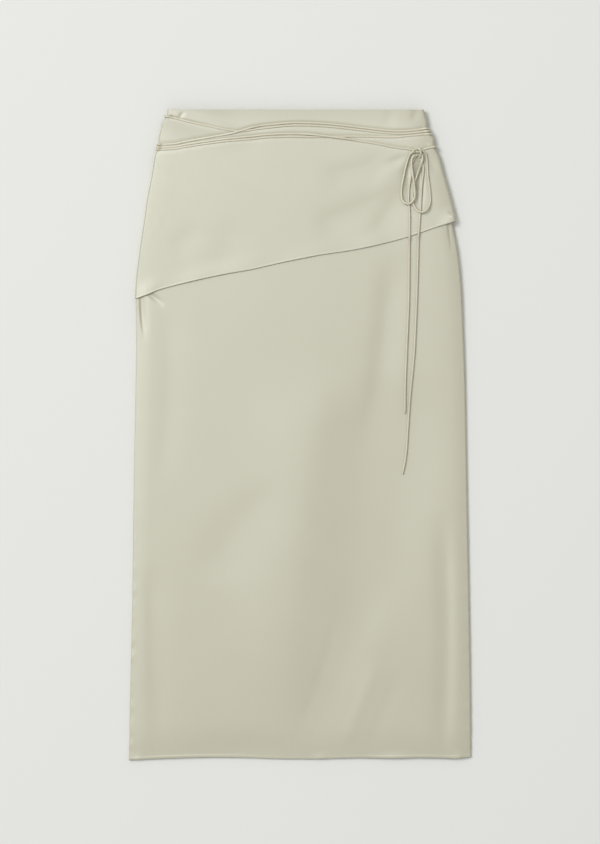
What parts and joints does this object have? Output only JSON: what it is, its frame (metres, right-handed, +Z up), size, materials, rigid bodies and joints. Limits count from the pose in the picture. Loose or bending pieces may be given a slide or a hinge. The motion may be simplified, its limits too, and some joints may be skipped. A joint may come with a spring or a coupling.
{
  "type": "wrap skirt",
  "caption": "Long column wrap skirt in pale satin laid flat, with a slanting hip overlay and a thin tie cord round the waist, tied in a bow at the right hip with long loose tails",
  "frame": {"origin": "centre of the laid-out skirt's outline, on the surface that it lies on", "axes": "X across the skirt, to the wearer's left as the front is seen, Y from the hem up to the waist, Z up from the surface, out of the front"},
  "size_m": [0.4614, 0.8767, 0.0197],
  "materials": {
    "satin_cloth": "satin",
    "satin_cord": "satin"
  },
  "bodies": {
    "root": {"skirt_back": "satin_cloth", "skirt_front": "satin_cloth", "overlay_back": "satin_cloth", "overlay_front": "satin_cloth", "tie_front_1": "satin_cord", "tie_front_2": "satin_cord", "tie_front_3": "satin_cord", "tie_front_4": "satin_cord", "tie_front_5": "satin_cord", "tie_back_1": "satin_cord", "tie_back_2": "satin_cord", "tie_back_3": "satin_cord", "tie_back_4": "satin_cord", "tie_knot": "satin_cord", "bow_loop_left": "satin_cord", "bow_loop_right": "satin_cord", "tie_tail_left": "satin_cord", "tie_tail_right": "satin_cord"}
  },
  "joints": []
}
